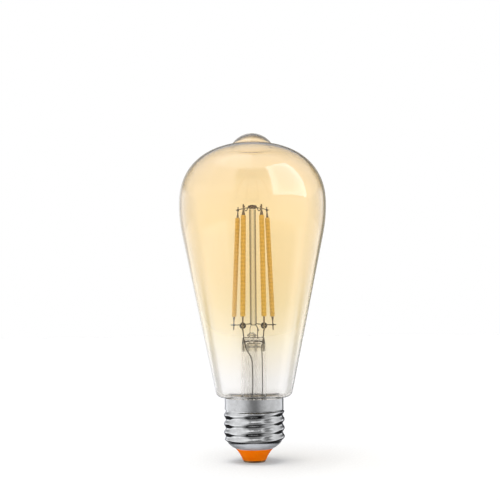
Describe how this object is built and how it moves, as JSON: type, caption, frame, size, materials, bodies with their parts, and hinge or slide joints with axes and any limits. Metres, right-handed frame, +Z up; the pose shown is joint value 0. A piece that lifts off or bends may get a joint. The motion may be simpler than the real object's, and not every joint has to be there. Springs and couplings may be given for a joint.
{
  "type": "smart light bulb",
  "caption": "Pear-shaped light bulb with straight LED filaments on a glass stem, amber-tinted glass, a screw cap and a hidden wireless driver.",
  "frame": {"origin": "middle of the foot contact's flat face, on the lamp's axis", "axes": "+Z up along the lamp axis towards the crown of the glass, -Y towards the front, where two of the filaments stand, +X to the right"},
  "size_m": [0.0642, 0.0642, 0.1424],
  "materials": {
    "amber_glass": "clear, amber above and fading to colourless near the neck",
    "black_mould": "matte",
    "board_dark": "satin",
    "board_green": "satin",
    "can_aluminium": "satin",
    "cap_metal": "bright nickel plate on thin sheet",
    "cement": "matte",
    "chip_ceramic": "matte",
    "clear_glass": "clear",
    "contact_brass": "dull",
    "copper": "bright copper",
    "ferrite": "matte",
    "light_chip": "glossy",
    "orange_insulator": "glossy, slightly translucent",
    "phosphor_coat": "satin silicone filled with yellow phosphor",
    "resistor_glaze": "glazed",
    "sleeve_film": "matte",
    "strip_ceramic": "matte",
    "support_wire": "drawn wire, satin",
    "tab_metal": "satin",
    "tin_plate": "satin tin plate",
    "tinned_wire": "tinned"
  },
  "bodies": {
    "root": {"bridge_rectifier": "black_mould", "cap_cement": "cement", "capacitor_base": "black_mould", "capacitor_can": "can_aluminium", "chip_parts": "chip_ceramic", "contact_pin": "contact_brass", "driver_board": "board_green", "driver_chip": "black_mould", "exhaust_tube": "clear_glass", "filament_front_left_chips": "light_chip", "filament_front_left_coat": "phosphor_coat", "filament_front_left_strip": "strip_ceramic", "filament_front_left_tabs": "tab_metal", "filament_front_right_chips": "light_chip", "filament_front_right_coat": "phosphor_coat", "filament_front_right_strip": "strip_ceramic", "filament_front_right_tabs": "tab_metal", "filament_rear_left_chips": "light_chip", "filament_rear_left_coat": "phosphor_coat", "filament_rear_left_strip": "strip_ceramic", "filament_rear_left_tabs": "tab_metal", "filament_rear_right_chips": "light_chip", "filament_rear_right_coat": "phosphor_coat", "filament_rear_right_strip": "strip_ceramic", "filament_rear_right_tabs": "tab_metal", "foot_contact": "contact_brass", "fuse_resistor": "resistor_glaze", "glass_envelope": "amber_glass", "glass_stem": "clear_glass", "inductor_core": "ferrite", "inductor_winding": "copper", "insulating_sleeve": "sleeve_film", "insulator": "orange_insulator", "lead_in_wire_left": "support_wire", "lead_in_wire_right": "support_wire", "lead_loop_left": "support_wire", "lead_loop_right": "support_wire", "live_wire": "tinned_wire", "lower_cross_wire_left": "support_wire", "lower_cross_wire_right": "support_wire", "neutral_wire": "tinned_wire", "prop_bead": "clear_glass", "prop_wire_left": "support_wire", "prop_wire_right": "support_wire", "rod_holder_left": "support_wire", "rod_holder_right": "support_wire", "rod_top_bead": "clear_glass", "screw_shell": "cap_metal", "support_rod": "clear_glass", "upper_wire_front_left": "support_wire", "upper_wire_front_right": "support_wire", "upper_wire_rear_left": "support_wire", "upper_wire_rear_right": "support_wire", "weld_beads": "support_wire", "wireless_antenna": "copper", "wireless_board": "board_dark", "wireless_shield": "tin_plate"}
  },
  "joints": []
}
